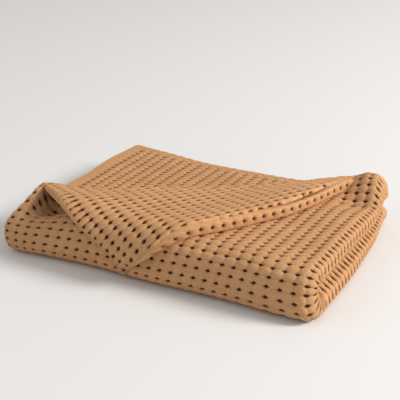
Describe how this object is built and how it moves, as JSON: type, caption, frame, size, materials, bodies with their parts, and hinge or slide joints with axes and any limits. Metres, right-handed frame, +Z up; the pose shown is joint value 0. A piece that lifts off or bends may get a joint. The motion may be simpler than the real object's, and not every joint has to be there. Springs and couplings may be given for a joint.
{
  "type": "folded throw blanket",
  "caption": "Waffle-weave throw folded to a flat stack with a rounded front fold; one corner of its upper layers is turned over and hangs down the front",
  "frame": {"origin": "on the table, under the middle of the folded throw's bounding box", "axes": "+X runs along the folded stack's long side to the end with the thick double rolls, +Y from the rounded front fold to the free back edges, +Z up"},
  "size_m": [0.45, 0.3492, 0.0848],
  "materials": {
    "waffle_cloth": "matt tan cotton in a waffle weave of puffed squares with small deep holes at their corners",
    "hem_cloth": "the same cotton, woven plain and turned under as a narrow flat hem",
    "thread": "tone-on-tone sewing thread"
  },
  "bodies": {
    "lower_half": {"front_left_corner": "waffle_cloth", "front_nose_1": "waffle_cloth", "front_nose_2": "waffle_cloth", "front_nose_3": "waffle_cloth", "front_nose_4": "waffle_cloth", "front_nose_5": "waffle_cloth", "front_nose_6": "waffle_cloth", "front_nose_7": "waffle_cloth", "front_nose_8": "waffle_cloth", "front_right_corner": "waffle_cloth", "lower_back_hem_threads": "thread", "lower_back_hems": "hem_cloth", "lower_layer_1": "waffle_cloth", "lower_layer_2": "waffle_cloth", "lower_layer_3": "waffle_cloth", "lower_layer_4": "waffle_cloth", "lower_layer_5": "waffle_cloth", "lower_layer_6": "waffle_cloth", "lower_layer_7": "waffle_cloth", "lower_layer_8": "waffle_cloth", "lower_left_hem_threads": "thread", "lower_left_hems": "hem_cloth", "lower_left_rolls": "waffle_cloth", "lower_right_rolls": "waffle_cloth"},
    "upper_half": {"corner_ridge_turns": "waffle_cloth", "upper_back_turns": "waffle_cloth", "upper_layer_1": "waffle_cloth", "upper_layer_2": "waffle_cloth", "upper_layer_3": "waffle_cloth", "upper_layer_4": "waffle_cloth", "upper_layer_5": "waffle_cloth", "upper_layer_6": "waffle_cloth", "upper_layer_7": "waffle_cloth", "upper_layer_8": "waffle_cloth", "upper_left_hem_threads": "thread", "upper_left_hems": "hem_cloth", "upper_left_rolls": "waffle_cloth", "upper_right_rolls": "waffle_cloth"},
    "corner_flap": {"flap_layer_1": "waffle_cloth", "flap_layer_2": "waffle_cloth", "flap_layer_3": "waffle_cloth", "flap_layer_4": "waffle_cloth", "flap_left_roll": "waffle_cloth", "flap_right_roll_lower": "waffle_cloth", "flap_right_roll_upper": "waffle_cloth", "tip_bend": "waffle_cloth"},
    "corner_tip": {"tip_layer_1": "waffle_cloth", "tip_layer_2": "waffle_cloth", "tip_layer_3": "waffle_cloth", "tip_layer_4": "waffle_cloth"}
  },
  "joints": [
    {"name": "upper_half_lift", "type": "hinge", "parent": "lower_half", "child": "upper_half", "pos_m": [0, -0.12535, 0.035], "axis": [1, 0, 0], "range_deg": [0, 12], "deforming": ["front_left_corner", "front_nose_1", "front_nose_2", "front_nose_3", "front_nose_4", "front_nose_5", "front_nose_6", "front_nose_7", "front_nose_8", "front_right_corner"]},
    {"name": "corner_turn", "type": "hinge", "parent": "upper_half", "child": "corner_flap", "pos_m": [-0.20786, -0.08405, 0.06834], "axis": [-0.8569, -0.5149, 0.0244], "range_deg": [0, 170], "deforming": ["corner_ridge_turns"]},
    {"name": "tip_straighten", "type": "hinge", "parent": "corner_flap", "child": "corner_tip", "pos_m": [0, -0.15965, 0.0705], "axis": [-1, 0, 0], "range_deg": [0, 85], "deforming": ["tip_bend"]}
  ],
  "couplings": [
    {"joint": "tip_straighten", "follows": "corner_turn", "ratio": 0.5}
  ]
}
